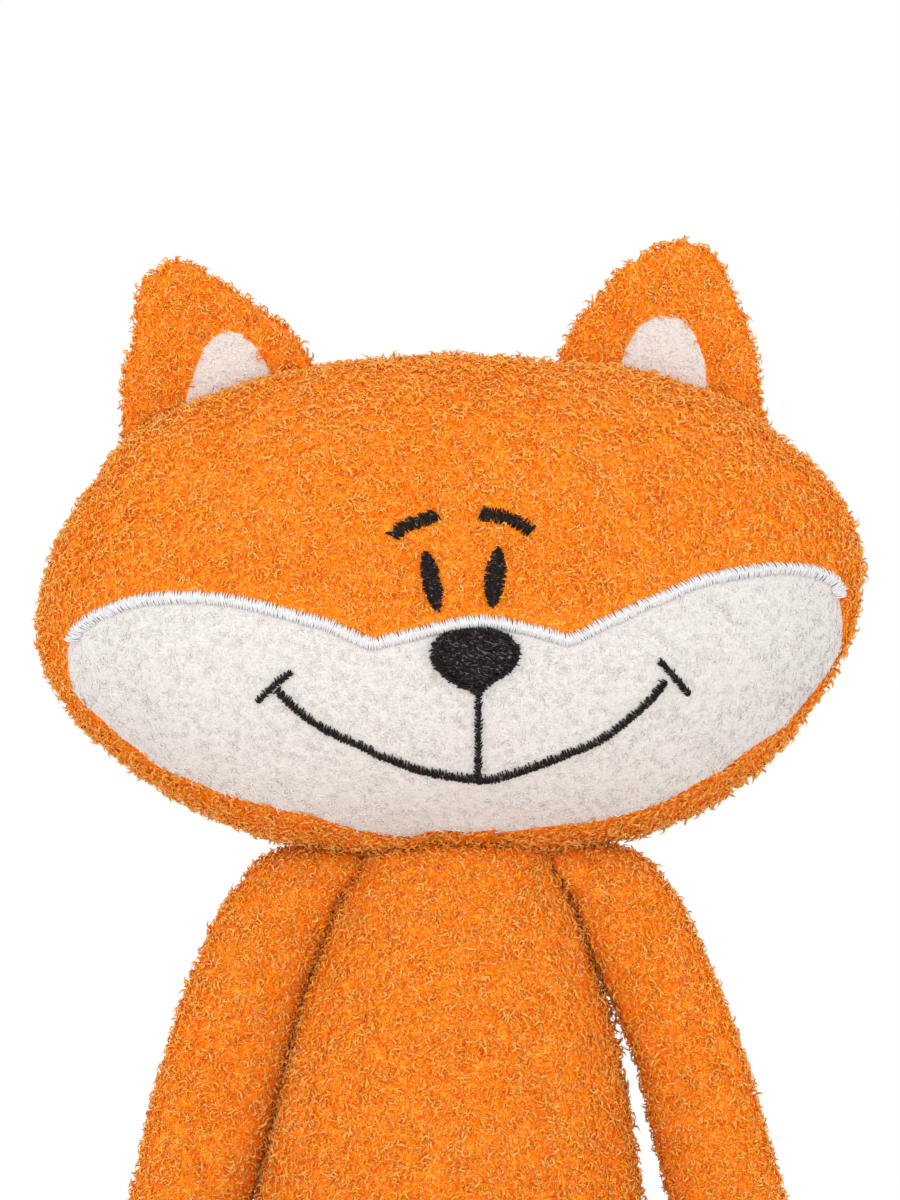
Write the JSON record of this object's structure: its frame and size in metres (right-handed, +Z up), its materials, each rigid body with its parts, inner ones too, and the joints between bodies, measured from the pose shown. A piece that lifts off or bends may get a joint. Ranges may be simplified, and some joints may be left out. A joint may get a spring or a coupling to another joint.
{
  "type": "plush fox",
  "caption": "Seated plush fox: wide head with white muzzle and stitched face, ears, arms, legs and tail, each sewn on and free to turn.",
  "frame": {"origin": "middle of the flat seat, on the surface it sits on", "axes": "+Z up; the fox looks along -Y; +X is its own left"},
  "size_m": [0.1764, 0.2784, 0.2724],
  "materials": {
    "orange_pile": "short curled orange pile",
    "white_pile": "short, flatter off-white pile",
    "white_thread": "satin stitch",
    "black_thread": "dense black stitching",
    "stuffing": "loose polyester filling"
  },
  "bodies": {
    "torso": {"body_front_panel": "orange_pile", "body_back_panel": "orange_pile", "body_stuffing": "stuffing"},
    "neck": {"neck_collar": "orange_pile", "neck_stuffing": "stuffing"},
    "head": {"head_back_panel": "orange_pile", "head_face_panel": "orange_pile", "muzzle_panel": "white_pile", "head_stuffing": "stuffing", "muzzle_border_stitching": "white_thread", "nose_stitching": "black_thread", "smile_stitching": "black_thread", "lip_stitching": "black_thread", "left_cheek_stitching": "black_thread", "right_cheek_stitching": "black_thread", "left_eye_stitching": "black_thread", "right_eye_stitching": "black_thread", "left_brow_stitching": "black_thread", "right_brow_stitching": "black_thread"},
    "left_ear": {"left_ear_front": "orange_pile", "left_ear_back": "orange_pile", "left_ear_patch": "white_pile", "left_ear_stuffing": "stuffing"},
    "left_arm": {"left_arm_skin": "orange_pile", "left_arm_stuffing": "stuffing"},
    "left_leg": {"left_leg_skin": "orange_pile", "left_leg_stuffing": "stuffing"},
    "right_ear": {"right_ear_front": "orange_pile", "right_ear_back": "orange_pile", "right_ear_patch": "white_pile", "right_ear_stuffing": "stuffing"},
    "right_arm": {"right_arm_skin": "orange_pile", "right_arm_stuffing": "stuffing"},
    "right_leg": {"right_leg_skin": "orange_pile", "right_leg_stuffing": "stuffing"},
    "tail": {"tail_skin": "orange_pile", "tail_tip": "white_pile", "tail_stuffing": "stuffing"}
  },
  "joints": [
    {"name": "neck_turn", "type": "hinge", "parent": "torso", "child": "neck", "pos_m": [0.00508, 0, 0.1491], "axis": [0, 0, 1], "range_deg": [-40, 40]},
    {"name": "head_nod", "type": "hinge", "parent": "neck", "child": "head", "pos_m": [0.00508, 0, 0.1491], "axis": [0.9919, 0.1218, 0.0349], "range_deg": [-12, 12]},
    {"name": "left_ear_fold", "type": "hinge", "parent": "head", "child": "left_ear", "pos_m": [0.04938, 0.0135, 0.24116], "axis": [0.9571, 0.1175, -0.2648], "range_deg": [-20, 20]},
    {"name": "right_ear_fold", "type": "hinge", "parent": "head", "child": "right_ear", "pos_m": [-0.04744, 0.00161, 0.23774], "axis": [0.9364, 0.115, 0.3315], "range_deg": [-20, 20]},
    {"name": "left_shoulder", "type": "hinge", "parent": "torso", "child": "left_arm", "pos_m": [0.03996, 0, 0.1293], "axis": [-0.9063, 0, -0.4226], "range_deg": [-45, 85]},
    {"name": "right_shoulder", "type": "hinge", "parent": "torso", "child": "right_arm", "pos_m": [-0.03145, 0, 0.1293], "axis": [-0.9063, 0, 0.4226], "range_deg": [-45, 85]},
    {"name": "left_hip", "type": "hinge", "parent": "torso", "child": "left_leg", "pos_m": [0.02223, -0.0266, 0.0062], "axis": [0.9267, 0.3758, 0], "range_deg": [-30, 90]},
    {"name": "right_hip", "type": "hinge", "parent": "torso", "child": "right_leg", "pos_m": [-0.0218, -0.0266, 0.0062], "axis": [0.9267, -0.3758, 0], "range_deg": [-30, 90]},
    {"name": "tail_swing", "type": "hinge", "parent": "torso", "child": "tail", "pos_m": [0.00072, 0.03349, 0.021], "axis": [1, 0, 0], "range_deg": [-30, 60]}
  ]
}
